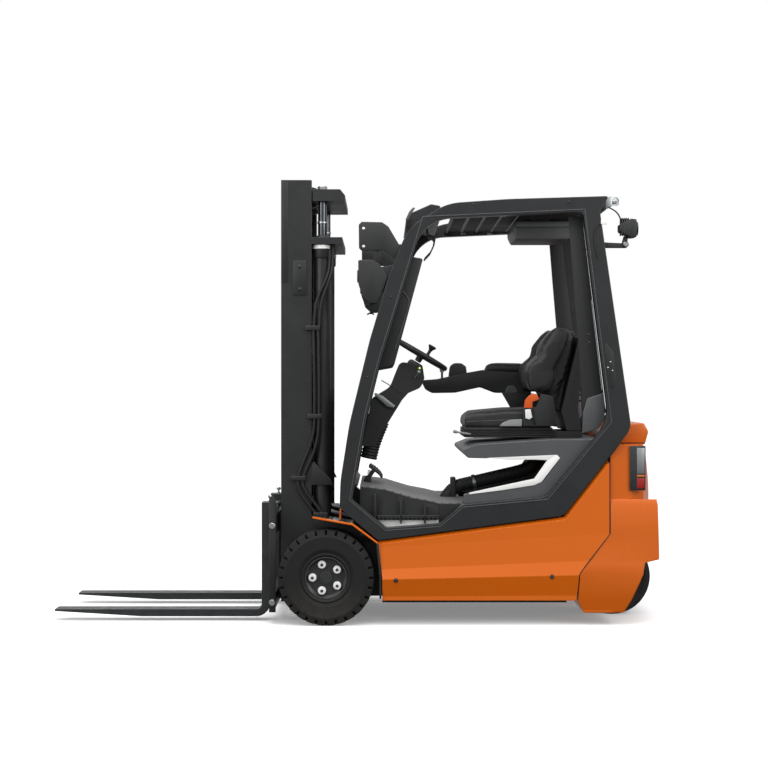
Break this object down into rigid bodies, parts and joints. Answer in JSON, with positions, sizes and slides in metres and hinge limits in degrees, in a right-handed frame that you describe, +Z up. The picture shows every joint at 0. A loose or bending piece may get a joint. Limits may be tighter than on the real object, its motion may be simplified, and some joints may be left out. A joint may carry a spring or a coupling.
{
  "type": "electric counterbalance forklift",
  "caption": "Compact three-wheel electric counterbalance forklift with open cab, two-stage mast, chains and forks.",
  "frame": {"origin": "centre of the footprint on the floor", "axes": "+Z up, the forks point to -X, the truck's left side is -Y"},
  "size_m": [2.924, 1.06, 2.141],
  "materials": {
    "tyre": "matte",
    "rim_black": "satin",
    "frame_black": "satin",
    "body_orange": "gloss",
    "battery_grey": "satin",
    "cab_black": "satin",
    "plastic_black": "matte",
    "mat_rubber": "matte",
    "seat_vinyl": "satin",
    "mast_black": "satin",
    "chrome_rod": "polished",
    "chain_steel": "oiled",
    "fork_black": "satin"
  },
  "bodies": {
    "chassis": {"chassis_frame": "frame_black", "drive_axle": "frame_black", "battery_block": "battery_grey", "counterweight": "body_orange", "side_panel_left": "body_orange", "side_panel_right": "body_orange", "cab_frame_left": "cab_black", "cab_frame_right": "cab_black", "guard_roof": "cab_black", "front_header": "cab_black", "floor_tub": "plastic_black", "floor_mat": "mat_rubber", "front_cowl": "plastic_black", "seat_deck": "plastic_black", "seat_base": "plastic_black", "seat_cushion": "seat_vinyl", "seat_backrest": "seat_vinyl", "seat_back_shell": "plastic_black", "steering_column": "plastic_black", "tilt_foot_pins": "chain_steel"},
    "front_wheel_left": {"front_tyre_left": "tyre", "front_rim_left": "rim_black"},
    "front_wheel_right": {"front_tyre_right": "tyre", "front_rim_right": "rim_black"},
    "rear_steer": {"steer_fork": "frame_black"},
    "rear_wheels": {"rear_tyres": "tyre", "rear_rims": "rim_black"},
    "mast_outer": {"mast_outer_frame": "mast_black", "lift_cylinders": "mast_black", "mast_tilt_pins": "chain_steel", "chain_rear": "chain_steel"},
    "mast_inner": {"mast_inner_frame": "mast_black", "lift_rods": "chrome_rod", "chain_pulleys": "chain_steel", "chain_front": "chain_steel"},
    "carriage": {"carriage_frame": "mast_black", "carriage_rollers": "chain_steel"},
    "fork_left": {"fork_left": "fork_black"},
    "fork_right": {"fork_right": "fork_black"},
    "tilt_barrels": {"tilt_barrels": "mast_black"},
    "tilt_rods": {"tilt_rods": "chrome_rod"},
    "steering_wheel": {"steering_wheel": "plastic_black"}
  },
  "joints": [
    {"name": "front_left_roll", "type": "hinge", "parent": "chassis", "child": "front_wheel_left", "pos_m": [-0.141, -0.441, 0.2285], "axis": [0, 1, 0], "continuous": true},
    {"name": "front_right_roll", "type": "hinge", "parent": "chassis", "child": "front_wheel_right", "pos_m": [-0.141, 0.441, 0.2285], "axis": [0, 1, 0], "continuous": true},
    {"name": "rear_steer", "type": "hinge", "parent": "chassis", "child": "rear_steer", "pos_m": [1.272, 0, 0.44], "axis": [0, 0, 1], "range_deg": [-90, 90]},
    {"name": "rear_roll", "type": "hinge", "parent": "rear_steer", "child": "rear_wheels", "pos_m": [1.272, 0, 0.19], "axis": [0, 1, 0], "continuous": true},
    {"name": "mast_tilt", "type": "hinge", "parent": "chassis", "child": "mast_outer", "pos_m": [-0.141, 0, 0.2285], "axis": [0, -1, 0], "range_deg": [-7, 5]},
    {"name": "tilt_barrel_turn", "type": "hinge", "parent": "chassis", "child": "tilt_barrels", "pos_m": [0.2, 0, 0.43], "axis": [0, -1, 0], "range_deg": [-1.88, 1.4]},
    {"name": "tilt_rod_slide", "type": "slide", "parent": "tilt_barrels", "child": "tilt_rods", "axis": [-0.9701, 0, 0.2425], "range_m": [-0.03499, 0.02528]},
    {"name": "mast_lift", "type": "slide", "parent": "mast_outer", "child": "mast_inner", "axis": [0, 0, 1], "range_m": [0, 1.4], "deforming": ["chain_front", "chain_rear"]},
    {"name": "carriage_lift", "type": "slide", "parent": "mast_inner", "child": "carriage", "axis": [0, 0, 1], "range_m": [0, 1.4]},
    {"name": "fork_left_shift", "type": "slide", "parent": "carriage", "child": "fork_left", "axis": [0, 1, 0], "range_m": [-0.11, 0.16]},
    {"name": "fork_right_shift", "type": "slide", "parent": "carriage", "child": "fork_right", "axis": [0, -1, 0], "range_m": [-0.11, 0.16]},
    {"name": "steering_turn", "type": "hinge", "parent": "chassis", "child": "steering_wheel", "pos_m": [0.324, 0, 1.296], "axis": [0.5089, 0, 0.8608], "continuous": true}
  ],
  "couplings": [
    {"joint": "tilt_barrel_turn", "follows": "mast_tilt", "ratio": 0.2402},
    {"joint": "tilt_rod_slide", "follows": "mast_tilt", "m_per_rad": 0.27819},
    {"joint": "carriage_lift", "follows": "mast_lift", "ratio": 1}
  ]
}
